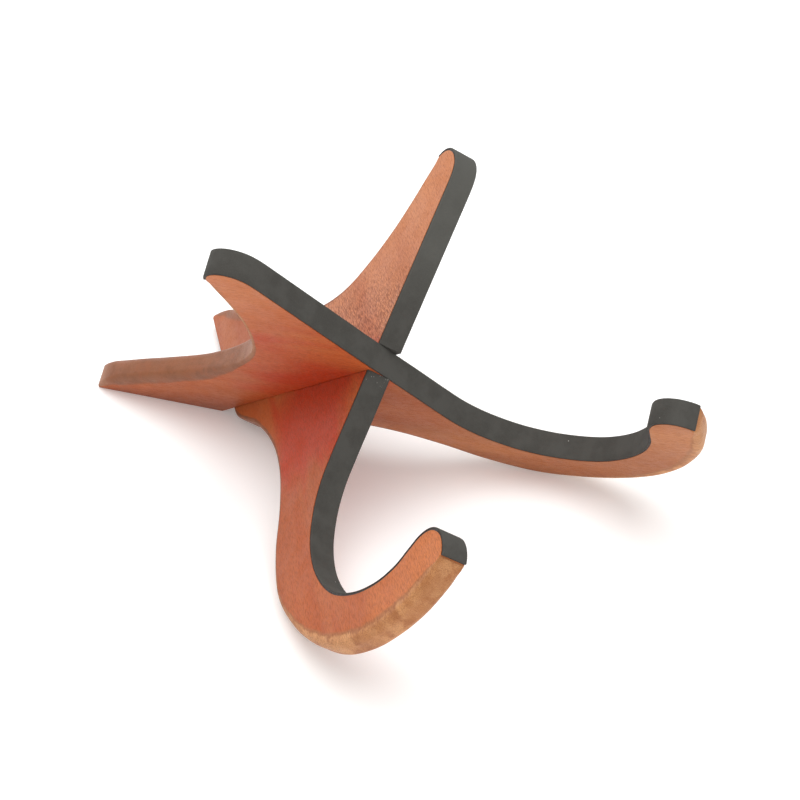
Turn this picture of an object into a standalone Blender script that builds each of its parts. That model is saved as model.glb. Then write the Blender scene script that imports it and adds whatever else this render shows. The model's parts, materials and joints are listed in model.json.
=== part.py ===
"""Slot-together wooden stand for a small string instrument or a display hoop.

Two planks of the same outline cross at right angles in a halving joint: plank_a is slotted
from the rear and plank_b from the front. Foam pads line the front edges, which hold the
instrument. The planks' common axis, along which they slide apart, slopes down to the rear.

Frame: +Z up, floor at z = 0, the instrument's side faces -Y, mirror plane x = 0.
A plank is drawn flat, in millimetres: x runs forward along the common axis, y runs towards
the upper arm, and (0, 0) lies on the axis.
"""
import math

import bmesh
import bpy
from mathutils import Euler, Matrix, Vector
from mathutils.geometry import interpolate_bezier

MM = 0.001

# Driving dimensions, in millimetres and degrees
PLANK_THICKNESS = 12.0
LEAN = 45.0               # each plank's lean from the upright mirror plane
GAP = 0.3                 # clearance between touching solids
ROUND_OVER = 2.2          # radius of the bare edges
PAD_THICKNESS = 1.2
SLOT_FLOOR = -50.0        # where the two slots meet on the axis
TONGUE_END = -105.4       # blunt end of the wood between the rear slot and the lower edge
STEPS = 6                 # outline points for each stretch of curve

# The foot is straight and lies on the floor from the heel to the toe
HEEL = (-107.2, -7.31)
TOE = (-163.1, 53.062)

# Lower edge, from the heel to the outside of the hook
LOWER_EDGE = [
    (-103.8, -10.2), (-100.4, -11.9), (-96.0, -13.5), (-89.5, -15.3), (-83.5, -16.9),
    (-76.0, -20.3), (-64.5, -26.9), (-52.5, -36.4), (-41.5, -50.0), (-32.5, -68.0),
    (-25.0, -89.0), (-13.2, -108.6), (2.0, -121.2), (22.0, -131.5), (44.0, -136.9),
    (64.6, -135.3), (81.0, -129.8), (94.0, -122.8), (103.7, -114.4), (109.1, -107.9),
]

# Round nose at the end of the hook, then the inside of the hook and the lower arm
HOOK_NOSE = [(111.0, -102.2), (109.0, -96.4), (105.1, -92.4), (99.1, -90.8), (92.9, -92.9)]
CRADLE = [
    (87.4, -97.8), (79.5, -105.2), (67.0, -111.6), (50.0, -114.6), (32.5, -112.0),
    (15.5, -101.6), (4.6, -87.6), (-0.6, -71.5), (-1.0, -56.5), (2.6, -41.0),
    (7.8, -23.5), (14.0, -1.5),
]

# The back rest is straight between these two points
REST_LOW = (19.0, 15.5)
REST_HIGH = (38.2, 77.6)

# Round tip of the upper arm, its rear edge and the top of the leg
TIP = [(40.4, 86.9), (39.6, 92.7), (35.9, 97.7), (30.5, 99.7), (25.2, 97.7)]
REAR_EDGE = [
    (20.4, 92.1), (11.4, 79.3), (0.6, 66.0), (-12.5, 53.8), (-27.2, 43.6), (-43.7, 38.5),
    (-63.0, 37.4), (-87.0, 40.4), (-109.0, 46.0), (-130.2, 52.2), (-147.8, 56.4),
    (-154.4, 56.7), (-160.0, 56.1), (-163.4, 54.6),
]

WOOD_COLOUR = (0.42, 0.16, 0.085)
FOAM_COLOUR = (0.055, 0.052, 0.047)


def clear_scene():
    for thing in list(bpy.data.objects):
        bpy.data.objects.remove(thing, do_unlink=True)


def make_collection(name):
    collection = bpy.data.collections.new(name)
    bpy.context.scene.collection.children.link(collection)
    return collection


def make_material(name, colour, roughness):
    material = bpy.data.materials.new(name)
    material.use_nodes = True
    shader = material.node_tree.nodes["Principled BSDF"]
    shader.inputs["Base Color"].default_value = (*colour, 1.0)
    shader.inputs["Roughness"].default_value = roughness
    shader.inputs["Metallic"].default_value = 0.0
    material.diffuse_color = (*colour, 1.0)
    return material


def smooth_run(points, before, after):
    """Points along a smooth curve through points; before and after set the end directions."""
    knots = [Vector(point) for point in points]
    padded = [Vector(before), *knots, Vector(after)]
    tangents = [(padded[i + 2] - padded[i]).normalized() for i in range(len(knots))]
    run = []
    for i in range(len(knots) - 1):
        reach = (knots[i + 1] - knots[i]).length / 3.0
        handle_out = knots[i] + tangents[i] * reach
        handle_in = knots[i + 1] - tangents[i + 1] * reach
        bend = tangents[i].angle(tangents[i + 1])
        steps = max(2, min(STEPS, math.ceil(math.degrees(bend) / 5.0) + 1))
        run += interpolate_bezier(knots[i], handle_out, handle_in, knots[i + 1], steps + 1)[:-1]
    return [Vector((point[0], point[1])) for point in run] + [knots[-1]]


def lower_run():
    """Heel, lower edge, hook nose, cradle and crossing, up to the start of the back rest."""
    points = [HEEL, *LOWER_EDGE, *HOOK_NOSE, *CRADLE, REST_LOW]
    return smooth_run(points, before=TOE, after=REST_HIGH)


def upper_run():
    """From the end of the back rest round the tip and along the leg to the toe."""
    points = [REST_HIGH, *TIP, *REAR_EDGE, TOE]
    return smooth_run(points, before=REST_LOW, after=HEEL)


def crossing(start, end, height):
    """The point of the line from start to end at the given height."""
    share = (height - start.y) / (end.y - start.y)
    return start.lerp(end, share)


def plank_a_outline():
    """Closed outline with the slot open at the rear, between the foot and the lower edge."""
    half_slot = PLANK_THICKNESS / 2.0 + GAP
    floor = SLOT_FLOOR + GAP / 2.0
    lower = lower_run()
    past_heel = lower[lower.index(Vector(LOWER_EDGE[0])):]
    foot_corner = crossing(Vector(TOE), Vector(HEEL), half_slot)
    slot = [foot_corner, Vector((floor, half_slot)), Vector((floor, -half_slot)),
            Vector((TONGUE_END, -half_slot))]
    return [*past_heel, *upper_run(), *slot]


def plank_b_outline():
    """Closed outline with the slot open at the front, between cradle and back rest."""
    half_slot = PLANK_THICKNESS / 2.0 + GAP
    floor = SLOT_FLOOR - GAP / 2.0
    lower = lower_run()
    last = max(i for i, point in enumerate(lower) if point.y < -half_slot)
    low_corner = crossing(lower[last], lower[last + 1], -half_slot)
    above = [point for point in lower[last + 1:] if point.y > half_slot]
    high_start = lower[lower.index(above[0]) - 1]
    high_corner = crossing(high_start, above[0], half_slot)
    slot = [low_corner, Vector((floor, -half_slot)), Vector((floor, half_slot)), high_corner]
    return [*lower[:last + 1], *slot, *above, *upper_run()]


def padded_path():
    """The part of the outline that a pad covers: nose, cradle, crossing, back rest and tip."""
    lower = lower_run()
    upper = upper_run()
    start = lower.index(Vector(HOOK_NOSE[0]))
    end = upper.index(Vector(TIP[-1]))
    return lower[start:] + upper[:end + 1]


def offset_path(path, distance):
    """The path moved sideways, away from the wood."""
    moved = []
    for i, point in enumerate(path):
        ahead = path[min(i + 1, len(path) - 1)]
        behind = path[max(i - 1, 0)]
        along = (ahead - behind).normalized()
        moved.append(point + Vector((along.y, -along.x)) * distance)
    return moved


def pad_outline(path):
    """Closed outline of a pad that lies on the path."""
    inner = offset_path(path, GAP)
    outer = offset_path(path, GAP + PAD_THICKNESS)
    return inner + outer[::-1]


def cut_path(path, height, keep_above):
    """The part of a path above or below a height, ending exactly at it."""
    last_below = max(i for i, point in enumerate(path[:-1])
                     if (point.y - height) * (path[i + 1].y - height) <= 0.0)
    joint = crossing(path[last_below], path[last_below + 1], height)
    if keep_above:
        return [joint, *path[last_below + 1:]]
    return [*path[:last_below + 1], joint]


def flat_mesh(name, outline, thickness):
    """A mesh of a flat closed outline, centred on its own plane."""
    curve = bpy.data.curves.new(name + "_outline", "CURVE")
    curve.dimensions = "2D"
    curve.fill_mode = "BOTH"
    curve.extrude = thickness * MM / 2.0
    spline = curve.splines.new("POLY")
    spline.points.add(len(outline) - 1)
    for point, place in zip(spline.points, outline):
        point.co = (place.x * MM, place.y * MM, 0.0, 1.0)
    spline.use_cyclic_u = True
    source = bpy.data.objects.new(name + "_outline", curve)
    bpy.context.scene.collection.objects.link(source)
    bpy.context.view_layer.update()
    evaluated = source.evaluated_get(bpy.context.evaluated_depsgraph_get())
    mesh = bpy.data.meshes.new_from_object(evaluated)
    mesh.name = name
    bpy.data.objects.remove(source, do_unlink=True)
    bpy.data.curves.remove(curve)
    shape = bmesh.new()
    shape.from_mesh(mesh)
    bmesh.ops.remove_doubles(shape, verts=shape.verts, dist=0.00001)
    bmesh.ops.dissolve_limit(shape, angle_limit=math.radians(0.1), verts=shape.verts,
                             edges=shape.edges, use_dissolve_boundaries=False)
    bmesh.ops.recalc_face_normals(shape, faces=shape.faces)
    shape.to_mesh(mesh)
    shape.free()
    return mesh


def mark_bare_edges(mesh, covered):
    """Gives bevel weight to the outline's edges, except in the slot and under the pads."""
    half_slot = (PLANK_THICKNESS / 2.0 + GAP) * MM
    shape = bmesh.new()
    shape.from_mesh(mesh)
    weight = shape.edges.layers.float.new("bevel_weight_edge")
    for edge in shape.edges:
        ends = [vert.co for vert in edge.verts]
        upright = abs(ends[0].z - ends[1].z) > 1e-5
        in_slot = all(abs(abs(end.y) - half_slot) < 1e-5 for end in ends)
        padded = all(min((end.xy - point * MM).length for point in covered) < 1e-5 for end in ends)
        if not (upright or in_slot or padded):
            edge[weight] = 1.0
    shape.to_mesh(mesh)
    shape.free()


def place_on_axis(thing, axis, side):
    """Turns a flat piece into its plank's plane; side is -1 for plank_a and 1 for plank_b."""
    lean = math.radians(LEAN)
    forward = Vector((0.0, -1.0, 0.0))
    arm = Vector((side * math.sin(lean), 0.0, math.cos(lean)))
    normal = forward.cross(arm)
    turn = Matrix((forward, arm, normal)).transposed()
    thing.parent = axis
    thing.rotation_euler = turn.to_euler()


def add_object(name, mesh, material, collection):
    thing = bpy.data.objects.new(name, mesh)
    collection.objects.link(thing)
    mesh.materials.clear()
    mesh.materials.append(material)
    mesh.shade_smooth()
    mesh.set_sharp_from_angle(angle=math.radians(35.0))
    return thing


def add_plank(name, outline, covered, side, axis, collection):
    mesh = flat_mesh(name, outline, PLANK_THICKNESS)
    mark_bare_edges(mesh, covered)
    material = make_material(name + "_wood", WOOD_COLOUR, 0.45)
    plank = add_object(name, mesh, material, collection)
    rounding = plank.modifiers.new("round_over", "BEVEL")
    rounding.limit_method = "WEIGHT"
    rounding.width = ROUND_OVER * MM
    rounding.segments = 3
    rounding.use_clamp_overlap = False
    place_on_axis(plank, axis, side)


def add_pad(name, path, side, axis, collection):
    mesh = flat_mesh(name, pad_outline(path), PLANK_THICKNESS)
    material = make_material(name + "_foam", FOAM_COLOUR, 0.9)
    pad = add_object(name, mesh, material, collection)
    place_on_axis(pad, axis, side)


def add_axis(collection):
    """An empty on the common axis, tilted so that both feet lie flat on the floor."""
    lean = math.radians(LEAN)
    slope = (TOE[1] - HEEL[1]) / (HEEL[0] - TOE[0])
    tilt = math.atan(slope * math.cos(lean))
    drop = HEEL[0] * math.sin(tilt) + HEEL[1] * math.cos(lean) * math.cos(tilt)
    rise_across = math.sin(lean) * math.cos(tilt)
    rise_in_plane = math.hypot(math.sin(tilt), math.cos(lean) * math.cos(tilt))
    arris = PLANK_THICKNESS / 2.0 * rise_across - ROUND_OVER * (rise_in_plane + rise_across - 1.0)
    height = (arris - drop) * MM
    axis = bpy.data.objects.new("common_axis", None)
    collection.objects.link(axis)
    axis.location = (0.0, 0.0, height)
    axis.rotation_euler = Euler((-tilt, 0.0, 0.0))
    return axis


def centre_on_origin(axis, collection):
    """Moves the stand along Y until its bounding box is centred on the origin."""
    bpy.context.view_layer.update()
    graph = bpy.context.evaluated_depsgraph_get()
    depths = []
    for thing in collection.objects:
        if thing.type == "MESH":
            solid = thing.evaluated_get(graph)
            depths += [(solid.matrix_world @ vert.co).y for vert in solid.data.vertices]
    axis.location.y -= (min(depths) + max(depths)) / 2.0


def build():
    clear_scene()
    parts = make_collection("instrument_stand")
    axis = add_axis(parts)
    path = padded_path()
    beside_slot = PLANK_THICKNESS / 2.0 + 2.0 * GAP
    add_plank("plank_a", plank_a_outline(), path, -1, axis, parts)
    add_plank("plank_b", plank_b_outline(), path, 1, axis, parts)
    add_pad("pad_a", path, -1, axis, parts)
    add_pad("pad_b_upper", cut_path(path, beside_slot, True), 1, axis, parts)
    add_pad("pad_b_lower", cut_path(path, -beside_slot, False), 1, axis, parts)
    centre_on_origin(axis, parts)


build()
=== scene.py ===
"""Slot-together instrument stand: the looks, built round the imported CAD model.

Two red-brown hardwood planks cross in a halving joint. Their bare edges are rounded over and
worn, pale at the front and dull on the legs; their front edges carry dark foam strips on a thin
glue line.
A plank is drawn flat in millimetres: x runs forward along the planks' common axis, y towards
the upper arm, z through the thickness.
"""
import json
import math

import bmesh
import bpy
from mathutils import Euler, Matrix, Vector
from mathutils.geometry import interpolate_bezier
from mathutils.kdtree import KDTree


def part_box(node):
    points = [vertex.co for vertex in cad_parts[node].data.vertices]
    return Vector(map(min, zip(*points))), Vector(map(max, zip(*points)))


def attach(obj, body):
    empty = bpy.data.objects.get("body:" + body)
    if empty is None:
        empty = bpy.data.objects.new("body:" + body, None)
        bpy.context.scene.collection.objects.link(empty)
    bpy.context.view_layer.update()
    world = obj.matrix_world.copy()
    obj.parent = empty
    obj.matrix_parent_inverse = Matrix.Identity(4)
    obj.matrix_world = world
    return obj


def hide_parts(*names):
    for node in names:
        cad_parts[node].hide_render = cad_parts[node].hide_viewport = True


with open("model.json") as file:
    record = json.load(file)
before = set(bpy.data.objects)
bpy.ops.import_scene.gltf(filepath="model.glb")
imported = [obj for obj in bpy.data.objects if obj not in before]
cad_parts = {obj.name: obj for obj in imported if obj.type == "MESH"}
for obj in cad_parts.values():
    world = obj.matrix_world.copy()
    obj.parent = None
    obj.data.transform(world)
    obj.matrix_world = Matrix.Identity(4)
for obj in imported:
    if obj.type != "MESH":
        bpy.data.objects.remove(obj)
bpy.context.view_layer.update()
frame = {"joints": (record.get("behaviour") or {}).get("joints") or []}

MM = 0.001
THICKNESS = 12.0
HALF_THICK = THICKNESS / 2.0
LEAN = 45.0               # degrees each plank leans from upright, about the common axis
GAP = 0.3                 # clearance on each side of a plank in the other's slot
SLOT_FLOOR = -50.0        # where the two slots meet along the axis
TONGUE_END = -105.4       # rear end of plank_a below its slot
CURVE_STEP = 1.2          # most distance between two points of a curve
SAME_PLACE = 0.01         # two points closer than this count as the same
SAME_VERTEX = 0.02        # two points of a profile closer than this share a vertex

# Bare edges of the wood
ROUND_LEAST = 1.5         # radius of the rounding
ROUND_MOST = 3.6
ROUND_STEPS = 8
WORN_LEAST = 0.8          # how far the worn colour runs in over a face
WORN_MOST = 4.0
HOOK_BOTTOM = (68.0, -130.0)
HOOK_REACH = 75.0         # the rounding is at its least this far from the hook's bottom
HOOK_GAIN = 1.6           # above 1, so that the rounding stays at its most for a stretch
LEG_START = -52.0         # the rounding grows from here to the rear, over LEG_REACH
LEG_REACH = 30.0
LEG_ABOVE = 12.0          # only edges higher than this are the leg's top
TOE_REACH = 22.0          # the rounding shrinks over this length before the toe
FOOT_BAND = 0.5           # an edge this close to the line from heel to toe is the foot
NEIGHBOUR_REACH = 20.0    # how far other edges and covered points are looked for
FACES_AWAY = 0.2          # points whose inward directions agree less are on different edges
OTHER_EDGE_SHARE = 0.45   # most of the distance to another edge that a rounding takes
COVERED_SHARE = 0.8       # most of the distance to a covered point that a rounding takes
ROUND_SLOPE = 0.5         # fastest change of the rounding along an edge
BORDER_SLOPE = 0.6

# Foam strips
FOAM_TOP = 1.5            # height of the foam's face above the wood's edge
FOAM_CORNER = 0.4
FOAM_CORNER_STEPS = 4
FOAM_STEP = 0.8
GLUE_TOP = 0.85           # height of the dark line of glue, darkened with painted shade, under the foam
GLUE_BASE = 0.03
GLUE_INSET = 0.2          # the glue line lies this far in from the plank's face
FOAM_LIP = 0.05           # the foam's side starts this far above the glue's top
PRESSED_LEAST = 0.45      # share of the foam's height left at a pressed end
PRESSED_LENGTH = 4.0
SCUFFED_LENGTH = 6.0
BESIDE_SLOT = 6.1         # where the pads of plank_b end at the crossing
SLOT_COVER = 2.6          # how far those ends reach down over the wall of its slot

# Stage and colour
SHADE_CENTRE = (-22.0, -8.0, 0.0)          # the painted shade round the crossing is deepest here
LIT_POINT = Vector((0.0, 0.0, 0.05))      # metres in the row frame
FLOOR_HALF = 6.0                          # metres
SHARP_WOOD = 35.0                         # degrees
SHARP_FOAM = 50.0

# The outline that both planks share, from the heel round the hook and the arm to the toe
HEEL = (-107.2, -7.31)
TOE = (-163.1, 53.062)
LOWER_EDGE = [
    (-103.8, -10.2), (-100.4, -11.9), (-96.0, -13.5), (-89.5, -15.3), (-83.5, -16.9),
    (-76.0, -20.3), (-64.5, -26.9), (-52.5, -36.4), (-41.5, -50.0), (-32.5, -68.0),
    (-25.0, -89.0), (-13.2, -108.6), (2.0, -121.2), (22.0, -131.5), (44.0, -136.9),
    (64.6, -135.3), (81.0, -129.8), (94.0, -122.8), (103.7, -114.4), (109.1, -107.9),
]
HOOK_NOSE = [(111.0, -102.2), (109.0, -96.4), (105.1, -92.4), (99.1, -90.8), (92.9, -92.9)]
CRADLE = [
    (87.4, -97.8), (79.5, -105.2), (67.0, -111.6), (50.0, -114.6), (32.5, -112.0),
    (15.5, -101.6), (4.6, -87.6), (-0.6, -71.5), (-1.0, -56.5), (2.6, -41.0),
    (7.8, -23.5), (14.0, -1.5),
]
REST_LOW = (19.0, 15.5)
REST_HIGH = (38.2, 77.6)
TIP = [(40.4, 86.9), (39.6, 92.7), (35.9, 97.7), (30.5, 99.7), (25.2, 97.7)]
REAR_EDGE = [
    (20.4, 92.1), (11.4, 79.3), (0.6, 66.0), (-12.5, 53.8), (-27.2, 43.6), (-43.7, 38.5),
    (-63.0, 37.4), (-87.0, 40.4), (-109.0, 46.0), (-130.2, 52.2), (-147.8, 56.4),
    (-154.4, 56.7), (-160.0, 56.1), (-163.4, 54.6),
]


# ---------------------------------------------------------------- outlines

def smooth_run(points, before, after):
    """Points along a smooth curve through points; before and after set the end directions."""
    knots = [Vector(point) for point in points]
    padded = [Vector(before), *knots, Vector(after)]
    tangents = [(padded[i + 2] - padded[i]).normalized() for i in range(len(knots))]
    run = []
    for i in range(len(knots) - 1):
        reach = (knots[i + 1] - knots[i]).length / 3.0
        handle_out = knots[i] + tangents[i] * reach
        handle_in = knots[i + 1] - tangents[i + 1] * reach
        steps = max(3, math.ceil((knots[i + 1] - knots[i]).length / CURVE_STEP))
        run += interpolate_bezier(knots[i], handle_out, handle_in, knots[i + 1], steps + 1)[:-1]
    return [Vector((point[0], point[1])) for point in run] + [knots[-1]]


def lower_run():
    points = [HEEL, *LOWER_EDGE, *HOOK_NOSE, *CRADLE, REST_LOW]
    return smooth_run(points, before=TOE, after=REST_HIGH)


def upper_run():
    points = [REST_HIGH, *TIP, *REAR_EDGE, TOE]
    return smooth_run(points, before=REST_LOW, after=HEEL)


def crossing(start, end, height):
    share = (height - start.y) / (end.y - start.y)
    return start.lerp(end, share)


def plank_a_outline():
    half_slot = HALF_THICK + GAP
    floor = SLOT_FLOOR + GAP / 2.0
    lower = lower_run()
    past_heel = lower[lower.index(Vector(LOWER_EDGE[0])):]
    foot_corner = crossing(Vector(TOE), Vector(HEEL), half_slot)
    slot = [foot_corner, Vector((floor, half_slot)), Vector((floor, -half_slot)),
            Vector((TONGUE_END, -half_slot))]
    return [*past_heel, *upper_run(), *slot]


def plank_b_outline():
    half_slot = HALF_THICK + GAP
    floor = SLOT_FLOOR - GAP / 2.0
    lower = lower_run()
    last = max(i for i, point in enumerate(lower) if point.y < -half_slot)
    low_corner = crossing(lower[last], lower[last + 1], -half_slot)
    above = [point for point in lower[last + 1:] if point.y > half_slot]
    high_start = lower[lower.index(above[0]) - 1]
    high_corner = crossing(high_start, above[0], half_slot)
    slot = [low_corner, Vector((floor, -half_slot)), Vector((floor, half_slot)), high_corner]
    return [*lower[:last + 1], *slot, *above, *upper_run()]


def padded_path():
    lower = lower_run()
    upper = upper_run()
    start = lower.index(Vector(HOOK_NOSE[0]))
    end = upper.index(Vector(TIP[-1]))
    return lower[start:] + upper[:end + 1]


def cut_path(path, height, keep_above):
    last_below = max(i for i, point in enumerate(path[:-1])
                     if (point.y - height) * (path[i + 1].y - height) <= 0.0)
    joint = crossing(path[last_below], path[last_below + 1], height)
    if keep_above:
        return [joint, *path[last_below + 1:]]
    return [*path[:last_below + 1], joint]


def evenly_spaced(path, spacing):
    """Points on the path a fixed distance apart, both ends kept."""
    lengths = [0.0]
    for i in range(len(path) - 1):
        lengths.append(lengths[-1] + (path[i + 1] - path[i]).length)
    count = max(2, round(lengths[-1] / spacing))
    points = []
    k = 0
    for i in range(count + 1):
        along = lengths[-1] * i / count
        while k < len(path) - 2 and lengths[k + 1] < along:
            k += 1
        share = (along - lengths[k]) / (lengths[k + 1] - lengths[k])
        points.append(path[k].lerp(path[k + 1], min(1.0, share)))
    return points


# ---------------------------------------------------------------- pieces and their places

def finished_mesh(name, shape):
    """The bmesh as a mesh with its normals outward; the bmesh is freed."""
    bmesh.ops.recalc_face_normals(shape, faces=shape.faces)
    mesh = bpy.data.meshes.new(name)
    shape.to_mesh(mesh)
    shape.free()
    return mesh


def add_piece(name, mesh, materials, sharp_angle):
    """Adds a smooth-shaded piece, whose corners over sharp_angle degrees stay sharp."""
    for material in materials:
        mesh.materials.append(material)
    mesh.shade_smooth()
    mesh.set_sharp_from_angle(angle=math.radians(sharp_angle))
    piece = bpy.data.objects.new(name, mesh)
    bpy.context.scene.collection.objects.link(piece)
    return piece


def plank_turn(side):
    """Rotation from a plank's own axes to the row frame; side is -1 for plank_a, 1 for plank_b."""
    slide = Vector(frame["joints"][0]["axis"])
    tilt = math.atan2(slide.z, -slide.y)
    lean = math.radians(LEAN)
    forward = Vector((0.0, -1.0, 0.0))
    arm = Vector((side * math.sin(lean), 0.0, math.cos(lean)))
    turn = Matrix((forward, arm, forward.cross(arm))).transposed()
    return Euler((-tilt, 0.0, 0.0)).to_matrix() @ turn


def axis_origin(mesh):
    """Where the common axis lies, from the CAD box of plank_b and the same plank drawn here."""
    turned = [plank_turn(1) @ vert.co for vert in mesh.vertices]
    low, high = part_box("plank_b")
    middle = (low + high) / 2.0
    own = [(min(co[i] for co in turned) + max(co[i] for co in turned)) / 2.0 for i in range(3)]
    return Vector((0.0, middle.y - own[1], middle.z - own[2]))


def place(piece, side, origin):
    """Moves a piece's mesh into the row frame, keeping its plank coordinates as an attribute."""
    mesh = piece.data
    flat_place = mesh.attributes.new("plank_mm", "FLOAT_VECTOR", "POINT")
    flat_place.data.foreach_set("vector", [x / MM for vert in mesh.vertices for x in vert.co])
    mesh.transform(Matrix.Translation(origin) @ plank_turn(side).to_4x4())


# ---------------------------------------------------------------- wood

def inward_directions(outline):
    """The direction into the wood at each point of the closed outline."""
    area = sum(outline[i - 1].cross(outline[i]) for i in range(len(outline)))
    sign = math.copysign(1.0, area)
    directions = []
    for i in range(len(outline)):
        along = outline[(i + 1) % len(outline)] - outline[i - 1]
        directions.append(Vector((-along.y, along.x)).normalized() * sign)
    return directions


def is_bare(point, covered):
    """Whether a point of the outline is neither in the slot nor under the foam."""
    in_slot = abs(abs(point.y) - HALF_THICK - GAP) < SAME_PLACE
    return not in_slot and all((point - other).length > SAME_PLACE for other in covered)


def rounding_width(point):
    """Radius of the bare edge: largest on the outside of the hook and on top of the leg."""
    heel, toe = Vector(HEEL), Vector(TOE)
    if abs((point - heel).cross((toe - heel).normalized())) < FOOT_BAND:
        return ROUND_LEAST
    hook = HOOK_GAIN - HOOK_GAIN * (point - Vector(HOOK_BOTTOM)).length / HOOK_REACH
    leg = (LEG_START - point.x) / LEG_REACH if point.y > LEG_ABOVE else 0.0
    before_toe = (point - toe).length / TOE_REACH
    share = max(0.0, min(1.0, max(hook, leg), before_toe))
    return ROUND_LEAST + (ROUND_MOST - ROUND_LEAST) * share


def limit_slope(values, outline, slope):
    """Lowers values so that they change no faster than slope along the closed outline."""
    count = len(values)
    for order in (range(-count, count), range(count - 1, -count - 1, -1)):
        last = order[0]
        for i in order:
            values[i] = min(values[i], values[last] + slope * (outline[i] - outline[last]).length)
            last = i


def edge_widths(outline, inward, bare):
    """At each point, the rounding's radius and how far in the worn border ends."""
    near = KDTree(len(outline))
    for i, point in enumerate(outline):
        near.insert((point.x, point.y, 0.0), i)
    near.balance()
    rounding, border = [], []
    for i, point in enumerate(outline):
        if not bare[i]:
            rounding.append(0.0)
            border.append(0.0)
            continue
        room, to_covered = NEIGHBOUR_REACH, NEIGHBOUR_REACH
        for _, j, far in near.find_range((point.x, point.y, 0.0), NEIGHBOUR_REACH):
            if not bare[j]:
                to_covered = min(to_covered, far)
            elif inward[i].dot(inward[j]) < FACES_AWAY:
                room = min(room, far)
        beside_other = OTHER_EDGE_SHARE * room
        beside_covered = COVERED_SHARE * to_covered
        width = min(rounding_width(point), beside_other, beside_covered)
        rounding.append(width)
        share = max(0.0, (width - ROUND_LEAST) / (ROUND_MOST - ROUND_LEAST))
        reach = min(WORN_LEAST + (WORN_MOST - WORN_LEAST) * share, beside_covered)
        border.append(min(width + reach, beside_other))
    limit_slope(rounding, outline, ROUND_SLOPE)
    limit_slope(border, outline, BORDER_SLOPE)
    return rounding, border


def plank_mesh(name, outline, covered):
    """A slab of the outline with rounded bare edges and a border inside them on each face.

    The attribute "worn" is 1 on the bare rim and rounding, 0 past the border and elsewhere.
    """
    inward = inward_directions(outline)
    bare = [is_bare(point, covered) for point in outline]
    rounding, border = edge_widths(outline, inward, bare)
    shape = bmesh.new()
    worn = shape.verts.layers.float.new("worn")
    columns = []
    for i, point in enumerate(outline):
        profile = [(border[i], HALF_THICK, 0.0)]
        for k in range(ROUND_STEPS + 1):
            angle = math.pi / 2.0 * k / ROUND_STEPS
            inset = rounding[i] * (1.0 - math.sin(angle))
            height = HALF_THICK - rounding[i] * (1.0 - math.cos(angle))
            profile.append((inset, height, float(bare[i])))
        profile += [(inset, -height, wear) for inset, height, wear in profile[::-1]]
        column = []
        for inset, height, wear in profile:
            flat = point + inward[i] * inset
            co = Vector((flat.x, flat.y, height)) * MM
            if not column or (column[-1].co - co).length > SAME_VERTEX * MM:
                column.append(shape.verts.new(co))
                column[-1][worn] = wear
            else:
                column.append(column[-1])
        columns.append(column)
    for i in range(len(columns)):
        left, right = columns[i - 1], columns[i]
        for k in range(len(left) - 1):
            corners = list(dict.fromkeys((left[k], right[k], right[k + 1], left[k + 1])))
            if len(corners) > 2:
                shape.faces.new(corners)
    shape.faces.new([column[0] for column in columns])
    shape.faces.new([column[-1] for column in columns[::-1]])
    return finished_mesh(name, shape)


def make_plank(name, outline, covered, material):
    return add_piece(name, plank_mesh(name, outline, covered), [material], SHARP_WOOD)


# ---------------------------------------------------------------- foam

def foam_section():
    """Cross-section of a strip as (across, height, is_glue), from one side's base to the other."""
    glue_edge = HALF_THICK - GLUE_INSET
    side = [(glue_edge, GLUE_BASE, True), (glue_edge, GLUE_TOP, True),
            (HALF_THICK, GLUE_TOP + FOAM_LIP, False)]
    for i in range(FOAM_CORNER_STEPS + 1):
        angle = math.pi / 2.0 * i / FOAM_CORNER_STEPS
        across = HALF_THICK - FOAM_CORNER + FOAM_CORNER * math.cos(angle)
        height = FOAM_TOP - FOAM_CORNER + FOAM_CORNER * math.sin(angle)
        side.append((across, height, False))
    side.append((HALF_THICK * 0.5, FOAM_TOP, False))
    return side + [(-across, height, glue) for across, height, glue in side[::-1]]


def foam_mesh(name, path, thin_end):
    """A foam strip along the path, with rounded corners on a thin glue line.

    The attribute "bend" is how sharply the strip turns, "scuffed" how near its far end is.
    thin_end is the length in millimetres over which the far end is pressed thin. With 0, the
    far end is scuffed instead. An end at the crossing is cut parallel to the other plank's face.
    """
    points = evenly_spaced(path, FOAM_STEP)
    last = len(points) - 1
    section = foam_section()
    shape = bmesh.new()
    bend_layer = shape.verts.layers.float.new("bend")
    scuff_layer = shape.verts.layers.float.new("scuffed")
    rings = []
    for i, point in enumerate(points):
        ahead = points[min(i + 1, last)]
        behind = points[max(i - 1, 0)]
        along = (ahead - behind).normalized()
        out = Vector((along.y, -along.x))
        turn = 0.0
        if 0 < i < last:
            turn = (ahead - point).normalized().cross((point - behind).normalized())
        to_end = (last - i) * FOAM_STEP
        if thin_end:
            thin = PRESSED_LEAST + (1.0 - PRESSED_LEAST) * min(1.0, to_end / thin_end)
            scuffed = 0.0
        else:
            thin = 1.0
            scuffed = max(0.0, 1.0 - to_end / SCUFFED_LENGTH)
        at_crossing = i in (0, last) and abs(abs(point.y) - BESIDE_SLOT) < SAME_PLACE
        ring = []
        for across, height, glue in section:
            lift = height if glue else GLUE_TOP + (height - GLUE_TOP) * thin
            if at_crossing and height < GLUE_TOP:
                lift = -SLOT_COVER
            place_2d = point + out * lift
            if at_crossing:
                place_2d -= along * (out.y * lift / along.y)
            vert = shape.verts.new((place_2d.x * MM, place_2d.y * MM, across * MM))
            vert[bend_layer] = turn
            vert[scuff_layer] = scuffed
            ring.append(vert)
        rings.append(ring)
    for i in range(len(rings) - 1):
        for k in range(len(section)):
            n = (k + 1) % len(section)
            face = shape.faces.new((rings[i][k], rings[i][n], rings[i + 1][n], rings[i + 1][k]))
            face.material_index = 1 if section[k][2] or section[n][2] else 0
    shape.faces.new(rings[0])
    shape.faces.new(rings[-1][::-1])
    return finished_mesh(name, shape)


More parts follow.
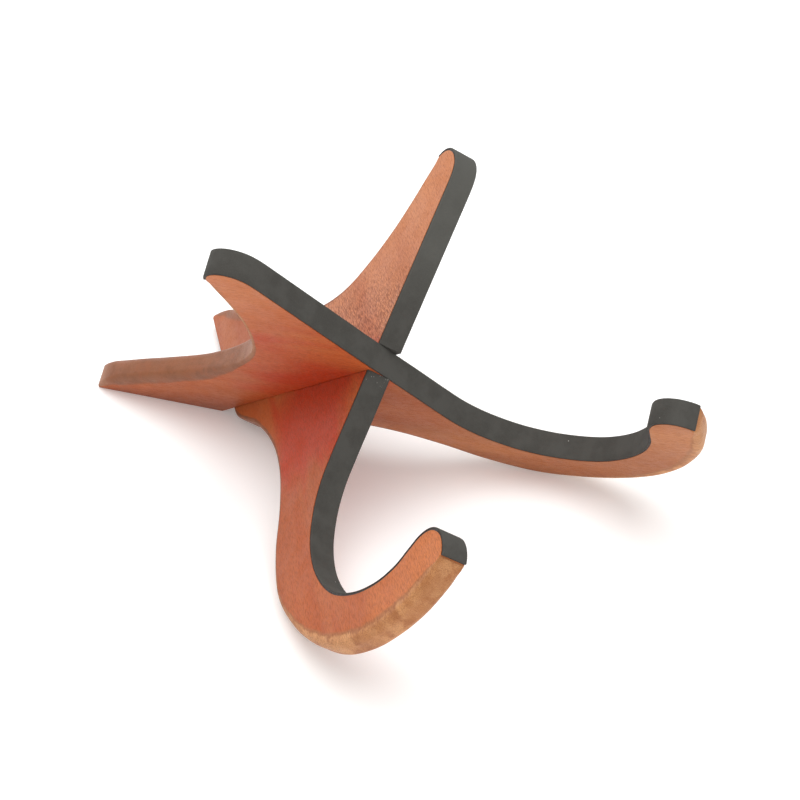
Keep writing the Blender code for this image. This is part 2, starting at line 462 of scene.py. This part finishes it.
def make_foam(name, path, thin_end, materials):
    return add_piece(name, foam_mesh(name, path, thin_end), materials, SHARP_FOAM)


# ---------------------------------------------------------------- materials

class Nodes:
    """A short way to write a material's node tree."""

    def __init__(self, name):
        self.material = bpy.data.materials.new(name)
        self.material.use_nodes = True
        self.tree = self.material.node_tree
        self.shader = self.tree.nodes["Principled BSDF"]

    def join(self, source, socket):
        if isinstance(source, bpy.types.NodeSocket):
            self.tree.links.new(source, socket)
        else:
            socket.default_value = source

    def add(self, kind, **values):
        node = self.tree.nodes.new(kind)
        for key, value in values.items():
            setattr(node, key, value)
        return node

    def coordinates(self):
        """The plank's own coordinates in millimetres."""
        return self.add("ShaderNodeAttribute", attribute_name="plank_mm").outputs["Vector"]

    def plank_axes(self):
        """Place along the common axis and towards the upper arm, in millimetres."""
        node = self.add("ShaderNodeSeparateXYZ")
        self.join(self.coordinates(), node.inputs[0])
        return node.outputs["X"], node.outputs["Y"]

    def mapped(self, vector, angle=0.0, scale=(1.0, 1.0, 1.0), shift=(0.0, 0.0, 0.0)):
        """The vector turned about z by angle and shifted, then stretched by scale."""
        node = self.add("ShaderNodeMapping")
        self.join(vector, node.inputs["Vector"])
        node.inputs["Rotation"].default_value = (0.0, 0.0, angle)
        node.inputs["Location"].default_value = shift
        turned = node.outputs["Vector"]
        stretch = self.add("ShaderNodeVectorMath", operation="MULTIPLY")
        self.join(turned, stretch.inputs[0])
        stretch.inputs[1].default_value = scale
        return stretch.outputs["Vector"]

    def noise(self, vector, scale, detail=2.0, roughness=0.5, distortion=0.0):
        node = self.add("ShaderNodeTexNoise")
        self.join(vector, node.inputs["Vector"])
        node.inputs["Scale"].default_value = scale
        node.inputs["Detail"].default_value = detail
        node.inputs["Roughness"].default_value = roughness
        node.inputs["Distortion"].default_value = distortion
        return node.outputs["Fac"]

    def ramp(self, value, low, high, to_low=0.0, to_high=1.0):
        """Smooth change from to_low at low to to_high at high."""
        node = self.add("ShaderNodeMapRange", interpolation_type="SMOOTHSTEP")
        self.join(value, node.inputs["Value"])
        node.inputs["From Min"].default_value = low
        node.inputs["From Max"].default_value = high
        node.inputs["To Min"].default_value = to_low
        node.inputs["To Max"].default_value = to_high
        return node.outputs["Result"]

    def maths(self, operation, first, second):
        node = self.add("ShaderNodeMath", operation=operation)
        self.join(first, node.inputs[0])
        self.join(second, node.inputs[1])
        return node.outputs["Value"]

    def mix(self, share, first, second):
        node = self.add("ShaderNodeMix", data_type="RGBA")
        self.join(share, node.inputs["Factor"])
        self.join(first, node.inputs["A"])
        self.join(second, node.inputs["B"])
        return [out for out in node.outputs if out.type == "RGBA"][0]

    def attribute(self, name):
        return self.add("ShaderNodeAttribute", attribute_name=name).outputs["Fac"]

    def bump(self, height, strength, distance, normal=None):
        node = self.add("ShaderNodeBump")
        self.join(height, node.inputs["Height"])
        node.inputs["Strength"].default_value = strength
        node.inputs["Distance"].default_value = distance
        if normal:
            self.join(normal, node.inputs["Normal"])
        return node.outputs["Normal"]


def colour(red, green, blue):
    return (red, green, blue, 1.0)


class WoodNodes(Nodes):
    """A plank's material, with the fields that its layers share.

    side is -1 for plank_a, 1 for plank_b. clear is 1 on the half that stands clear of the other
    plank, the hook of plank_a and the arm of plank_b, and ahead is 1 in front of the slots.
    """

    def __init__(self, name, side, grain_angle, shift):
        super().__init__(name)
        self.place_mm = self.coordinates()
        self.forward, self.upward = self.plank_axes()
        self.grain = self.mapped(self.place_mm, angle=-math.radians(grain_angle), shift=shift)
        self.streak = self.noise(self.mapped(self.grain, scale=(0.045, 1.1, 1.1)), 1.0,
                                 detail=3.0, roughness=0.6)
        self.clear = self.ramp(self.maths("MULTIPLY", self.upward, side), 2.0, 14.0)
        self.ahead = self.ramp(self.forward, -75.0, -35.0)


def wood_face(n, painted_lit_tones):
    """Red-brown with faint ribbons and streaks; painted light on the clear half and tip, painted
    shade on the leg.
    """
    tone = n.noise(n.mapped(n.grain, scale=(0.010, 0.045, 0.05)), 1.0, detail=3.0)
    ribbon = n.noise(n.mapped(n.grain, scale=(0.008, 0.13, 0.10)), 1.0, detail=2.0, distortion=0.4)
    tone_share = n.ramp(tone, 0.32, 0.68)
    face = n.mix(tone_share, colour(0.42, 0.089, 0.017), colour(0.52, 0.132, 0.029))
    face = n.mix(n.ramp(ribbon, 0.42, 0.62, 0.0, 0.35), face, colour(0.45, 0.074, 0.009))
    # painted light: ahead of the slots, the half that stands clear of the other plank is paler,
    # where its shade doesn't fall
    painted_light_share = n.maths("MULTIPLY", n.clear, n.ahead)
    face = n.mix(painted_light_share, face, n.mix(tone_share, painted_lit_tones[0], painted_lit_tones[1]))
    face = n.mix(n.ramp(n.streak, 0.50, 0.72, 0.0, 0.22), face, colour(0.33, 0.058, 0.012))
    # painted shade: darker towards the leg and toe
    painted_shade_at_leg = n.ramp(n.forward, -130.0, -70.0, 0.40, 0.0)
    face = n.mix(painted_shade_at_leg, face, colour(0.30, 0.080, 0.024))
    # painted sheen: paler towards the arm's tip, a painted reflection of the bright surroundings
    painted_sheen_at_tip = n.ramp(n.upward, 45.0, 90.0, 0.0, 0.5)
    face = n.mix(painted_sheen_at_tip, face, colour(0.57, 0.195, 0.060))
    not_clear = n.maths("SUBTRACT", 1.0, n.clear)
    at_nose = n.maths("MULTIPLY", not_clear, n.ramp(n.forward, 50.0, 105.0, 0.0, 0.8))
    return n.mix(at_nose, face, colour(0.62, 0.190, 0.050))


def painted_shade_at_crossing(n, face, shade_reach):
    """The face with painted shade round the crossing: a deep red for the shade and the light
    reflected between the planks, faint on the half that stands clear.
    """
    near_axis = n.add("ShaderNodeVectorMath", operation="DISTANCE")
    n.join(n.place_mm, near_axis.inputs[0])
    near_axis.inputs[1].default_value = SHADE_CENTRE
    drift = n.noise(n.mapped(n.grain, scale=(0.014, 0.05, 0.05)), 1.0, detail=3.0)
    reach = n.maths("ADD", near_axis.outputs["Value"], n.ramp(drift, 0.3, 0.7, -22.0, 22.0))
    shaded = n.maths("SUBTRACT", 1.0, n.maths("MULTIPLY", n.clear, 0.85))
    # painted shade: a deep red round the crossing, where the planks shade each other and light
    # reflects between them
    shade_share = n.maths("MULTIPLY", shaded, n.ramp(reach, 18.0, shade_reach, 1.0, 0.0))
    return n.mix(shade_share, face, colour(0.48, 0.036, 0.001))


def worn_edges(n, face):
    """The face with its worn edges: dull on the leg, pale on the hook and the arm."""
    wander = n.noise(n.place_mm, 0.13, detail=3.0, roughness=0.6)
    worn = n.attribute("worn")
    inland = n.maths("ADD", worn, n.maths("MULTIPLY", worn, n.ramp(wander, 0.3, 0.7, -0.40, 0.25)))
    at_front = n.ramp(n.forward, -60.0, 30.0)
    blotch = n.noise(n.mapped(n.grain, scale=(0.04, 0.11, 0.11)), 1.0, detail=3.0, roughness=0.6)
    dull = n.mix(n.ramp(blotch, 0.38, 0.62),
                 colour(0.210, 0.071, 0.026), colour(0.265, 0.093, 0.037))
    pale = n.mix(n.ramp(blotch, 0.40, 0.64),
                 colour(0.50, 0.205, 0.070), colour(0.62, 0.292, 0.115))
    edge = n.mix(at_front, dull, pale)
    at_nose = n.ramp(n.forward, 90.0, 104.0, 0.0, 0.15)
    edge = n.mix(at_nose, edge, colour(0.19, 0.085, 0.038))
    at_toe = n.ramp(n.forward, -163.0, -146.0, 0.6, 0.0)
    edge = n.mix(at_toe, edge, colour(0.44, 0.190, 0.095))
    edge = n.mix(n.ramp(n.streak, 0.52, 0.76, 0.0, 0.22), edge, colour(0.20, 0.075, 0.032))
    stain = n.mix(at_front, colour(0.25, 0.085, 0.034), colour(0.36, 0.135, 0.042))
    surface = n.mix(n.ramp(inland, 0.10, 0.55, 0.0, 0.85), face, stain)
    return n.mix(n.ramp(inland, 0.50, 0.95), surface, edge)


def with_pores(n, surface, fleck):
    """The surface with short dark pores, and the masks of its coarse and fine pores."""
    on_arm = n.maths("MULTIPLY", n.ahead, n.ramp(n.upward, -8.0, 8.0, 0.32, 1.0))
    on_arm = n.maths("MULTIPLY", on_arm, n.ramp(n.upward, 22.0, 56.0, 1.0, 0.15))
    dense = n.maths("MULTIPLY", on_arm, fleck)
    pores = n.noise(n.mapped(n.grain, scale=(0.34, 3.2, 3.2)), 1.0, detail=2.0, roughness=0.6)
    coarse = n.ramp(n.maths("ADD", pores, n.maths("MULTIPLY", dense, 0.06)), 0.50, 0.64)
    show = n.maths("ADD", 0.26, n.maths("MULTIPLY", dense, 0.52))
    surface = n.mix(n.maths("MULTIPLY", coarse, show), surface, colour(0.17, 0.042, 0.018))
    fine_pores = n.noise(n.mapped(n.grain, scale=(0.8, 4.6, 4.6)), 1.0, detail=1.0)
    fine = n.ramp(fine_pores, 0.52, 0.66)
    fine_show = n.maths("ADD", 0.18, n.maths("MULTIPLY", dense, 0.35))
    surface = n.mix(n.maths("MULTIPLY", fine, fine_show), surface, colour(0.18, 0.048, 0.022))
    return surface, coarse, fine


def wood_finish(n, coarse, fine):
    """A satin sheen in soft patches, with the pores sunk in and waves left by sanding."""
    rough = n.ramp(n.noise(n.place_mm, 0.08, detail=4.0, roughness=0.6), 0.3, 0.7, 0.38, 0.52)
    rough = n.maths("ADD", rough, n.maths("MULTIPLY", coarse, 0.12))
    n.join(rough, n.shader.inputs["Roughness"])
    n.shader.inputs["Specular IOR Level"].default_value = 0.28
    height = n.maths("MULTIPLY", n.streak, 0.35)
    height = n.maths("SUBTRACT", height, n.maths("MULTIPLY", coarse, 0.6))
    height = n.maths("SUBTRACT", height, n.maths("MULTIPLY", fine, 0.25))
    relief = n.bump(height, 0.35, 0.00012)
    sanding = n.noise(n.place_mm, 0.22, detail=1.0)
    n.join(n.bump(sanding, 0.25, 0.0006, relief), n.shader.inputs["Normal"])


def wood_material(name, side, grain_angle, shift, fleck, shade_reach, painted_lit_tones):
    """Red-brown hardwood with short dark pores and faint figure, worn at the bare edges.

    fleck is how strongly the pores show on the arm. The painted shade at the crossing, a deep red,
    fades out at the given reach. The two tones given last are painted light: paler tones for the
    half that stands clear of the other plank's shade.
    """
    n = WoodNodes(name, side, grain_angle, shift)
    face = painted_shade_at_crossing(n, wood_face(n, painted_lit_tones), shade_reach)
    surface, coarse, fine = with_pores(n, worn_edges(n, face), fleck)
    n.join(surface, n.shader.inputs["Base Color"])
    wood_finish(n, coarse, fine)
    return n.material


def foam_material(name, painted_light_on_upper):
    """Matte dark grey closed-cell foam with fine cells, faint rubbed marks and dust specks.

    The share given is how much the upper arm's strip is painted paler towards its top: painted
    light from the front and above.
    """
    n = Nodes(name)
    place_mm = n.coordinates()
    cells = n.noise(place_mm, 2.4, detail=3.0, roughness=0.65)
    cloud = n.noise(place_mm, 0.09, detail=3.0, roughness=0.6)
    base = n.mix(n.ramp(cloud, 0.35, 0.65),
                 colour(0.046, 0.043, 0.037), colour(0.062, 0.059, 0.052))
    base = n.mix(n.ramp(cells, 0.35, 0.70, 0.0, 0.5), base, colour(0.078, 0.075, 0.068))

    _, upward = n.plank_axes()
    # painted light: the upper arm's strip is paler towards its top, as if lit from the front and
    # above
    painted_light_up = n.ramp(upward, 12.0, 60.0, 0.0, painted_light_on_upper)
    base = n.mix(painted_light_up, base, colour(0.125, 0.125, 0.112))

    bend = n.attribute("bend")
    # paler streaks where the strip bends sharply
    streaks = n.noise(n.mapped(place_mm, scale=(1.6, 1.6, 0.12)), 1.0, detail=2.0)
    pale_at_bend = n.maths("MULTIPLY", n.ramp(bend, 0.05, 0.12), n.ramp(streaks, 0.52, 0.66))
    base = n.mix(n.maths("MULTIPLY", pale_at_bend, 0.5), base, colour(0.16, 0.16, 0.15))

    scuffed = n.attribute("scuffed")
    rubs = n.noise(n.mapped(place_mm, scale=(0.7, 0.7, 1.3)), 1.0, detail=3.0, roughness=0.7)
    rubbed = n.maths("MULTIPLY", scuffed, n.ramp(rubs, 0.63, 0.70))
    base = n.mix(n.maths("MULTIPLY", rubbed, 0.9), base, colour(0.50, 0.47, 0.43))

    dust = n.add("ShaderNodeTexVoronoi", feature="F1")
    n.join(place_mm, dust.inputs["Vector"])
    dust.inputs["Scale"].default_value = 0.13
    dust.inputs["Randomness"].default_value = 1.0
    speck = n.ramp(dust.outputs["Distance"], 0.020, 0.034, 1.0, 0.0)
    base = n.mix(n.maths("MULTIPLY", speck, 0.8), base, colour(0.62, 0.60, 0.56))
    n.join(base, n.shader.inputs["Base Color"])

    n.join(n.ramp(cells, 0.3, 0.7, 0.78, 0.95), n.shader.inputs["Roughness"])
    n.shader.inputs["Specular IOR Level"].default_value = 0.3
    relief = n.bump(cells, 0.35, 0.00015)
    dents = n.noise(place_mm, 0.25, detail=2.0)
    n.join(n.bump(dents, 0.2, 0.0005, relief), n.shader.inputs["Normal"])
    return n.material


def glue_and_shade_material():
    """The near-black line between foam and wood: glue, with painted shade from the foam's edge in
    its darkness.
    """
    n = Nodes("glue_and_shade_line")
    place_mm = n.coordinates()
    patch = n.noise(place_mm, 0.7, detail=2.0)
    tone = n.mix(n.ramp(patch, 0.35, 0.7),
                 colour(0.010, 0.008, 0.007), colour(0.030, 0.018, 0.012))
    n.join(tone, n.shader.inputs["Base Color"])
    n.join(n.ramp(patch, 0.3, 0.7, 0.45, 0.7), n.shader.inputs["Roughness"])
    n.join(n.bump(patch, 0.3, 0.0001), n.shader.inputs["Normal"])
    return n.material


def floor_material():
    """Pale table that gives off a little light, so that undersides stay bright."""
    n = Nodes("pale_floor")
    mottle = n.noise(n.add("ShaderNodeTexCoord").outputs["Object"], 6.0, detail=2.0)
    tone = n.mix(mottle, colour(0.90, 0.90, 0.89), colour(0.92, 0.92, 0.915))
    n.join(tone, n.shader.inputs["Base Color"])
    n.shader.inputs["Roughness"].default_value = 0.8
    n.shader.inputs["Specular IOR Level"].default_value = 0.2
    n.shader.inputs["Emission Color"].default_value = (1.0, 1.0, 1.0, 1.0)
    n.shader.inputs["Emission Strength"].default_value = 0.18
    return n.material


# ---------------------------------------------------------------- stage

def add_floor():
    mesh = bpy.data.meshes.new("floor")
    shape = bmesh.new()
    bmesh.ops.create_grid(shape, x_segments=2, y_segments=2, size=FLOOR_HALF)
    shape.to_mesh(mesh)
    shape.free()
    mesh.materials.append(floor_material())
    floor = bpy.data.objects.new("floor", mesh)
    bpy.context.scene.collection.objects.link(floor)


def add_light(name, place_m, size, power):
    """A round area light that faces LIT_POINT."""
    light = bpy.data.lights.new(name, "AREA")
    light.shape = "DISK"
    light.size = size
    light.energy = power
    lamp = bpy.data.objects.new(name, light)
    bpy.context.scene.collection.objects.link(lamp)
    lamp.location = place_m
    lamp.rotation_euler = (LIT_POINT - Vector(place_m)).to_track_quat("-Z", "Y").to_euler()


def add_world():
    world = bpy.data.worlds.new("soft_studio")
    world.use_nodes = True
    world.node_tree.nodes["Background"].inputs["Color"].default_value = (1.0, 1.0, 1.0, 1.0)
    world.node_tree.nodes["Background"].inputs["Strength"].default_value = 0.45
    bpy.context.scene.world = world


def add_camera():
    lens = bpy.data.cameras.new("camera")
    lens.lens = 97.14
    lens.sensor_width = 36.0
    lens.clip_end = 50.0
    camera = bpy.data.objects.new("camera", lens)
    bpy.context.scene.collection.objects.link(camera)
    camera.location = (-0.53755, -0.60083, 0.62365)
    camera.rotation_euler = tuple(math.radians(angle) for angle in (54.512, -1.332, -42.484))
    bpy.context.scene.camera = camera


# ---------------------------------------------------------------- build

def build():
    bpy.context.scene.view_settings.view_transform = "Standard"
    add_camera()
    add_world()
    add_light("overhead", (0.0, 0.1, 1.5), size=2.4, power=30.0)
    add_light("backdrop", (0.0, 1.5, 0.3), size=1.2, power=5.0)
    add_light("front", (-0.3, -1.5, 0.55), size=1.2, power=4.0)
    add_floor()

    path = padded_path()
    # painted light: paler tones for the half of each plank that stands clear of the other's shade
    painted_lit_tones_a = (colour(0.39, 0.122, 0.036), colour(0.50, 0.180, 0.058))
    painted_lit_tones_b = (colour(0.50, 0.167, 0.062), colour(0.60, 0.230, 0.096))
    wood_a = wood_material("wood_plank_a", side=-1, grain_angle=140.0, shift=(13.0, 41.0, 7.0),
                           fleck=0.2, shade_reach=84.0, painted_lit_tones=painted_lit_tones_a)
    wood_b = wood_material("wood_plank_b", side=1, grain_angle=130.0, shift=(-87.0, 19.0, 55.0),
                           fleck=1.0, shade_reach=57.0, painted_lit_tones=painted_lit_tones_b)
    foam_a = foam_material("foam_plank_a", painted_light_on_upper=0.0)
    foam_b = foam_material("foam_plank_b", painted_light_on_upper=0.42)
    glue = glue_and_shade_material()

    plank_a = make_plank("plank_a_wood", plank_a_outline(), path, wood_a)
    plank_b = make_plank("plank_b_wood", plank_b_outline(), path, wood_b)
    origin = axis_origin(plank_b.data)
    above = cut_path(path, BESIDE_SLOT, keep_above=True)
    below = cut_path(path, -BESIDE_SLOT, keep_above=False)
    pad_a = make_foam("pad_a_foam", path, PRESSED_LENGTH, [foam_a, glue])
    pad_b_upper = make_foam("pad_b_upper_foam", above, PRESSED_LENGTH, [foam_b, glue])
    pad_b_lower = make_foam("pad_b_lower_foam", below, 0.0, [foam_b, glue])

    pieces = [
        (plank_a, "plank_a", -1, "plank_a_body", "wood"),
        (plank_b, "plank_b", 1, "plank_b_body", "wood"),
        (pad_a, "pad_a", -1, "plank_a_body", "foam"),
        (pad_b_upper, "pad_b_upper", 1, "plank_b_body", "foam"),
        (pad_b_lower, "pad_b_lower", 1, "plank_b_body", "foam"),
    ]
    for piece, node, side, body, slot in pieces:
        place(piece, side, origin)
        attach(piece, body)
        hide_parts(node)


build()
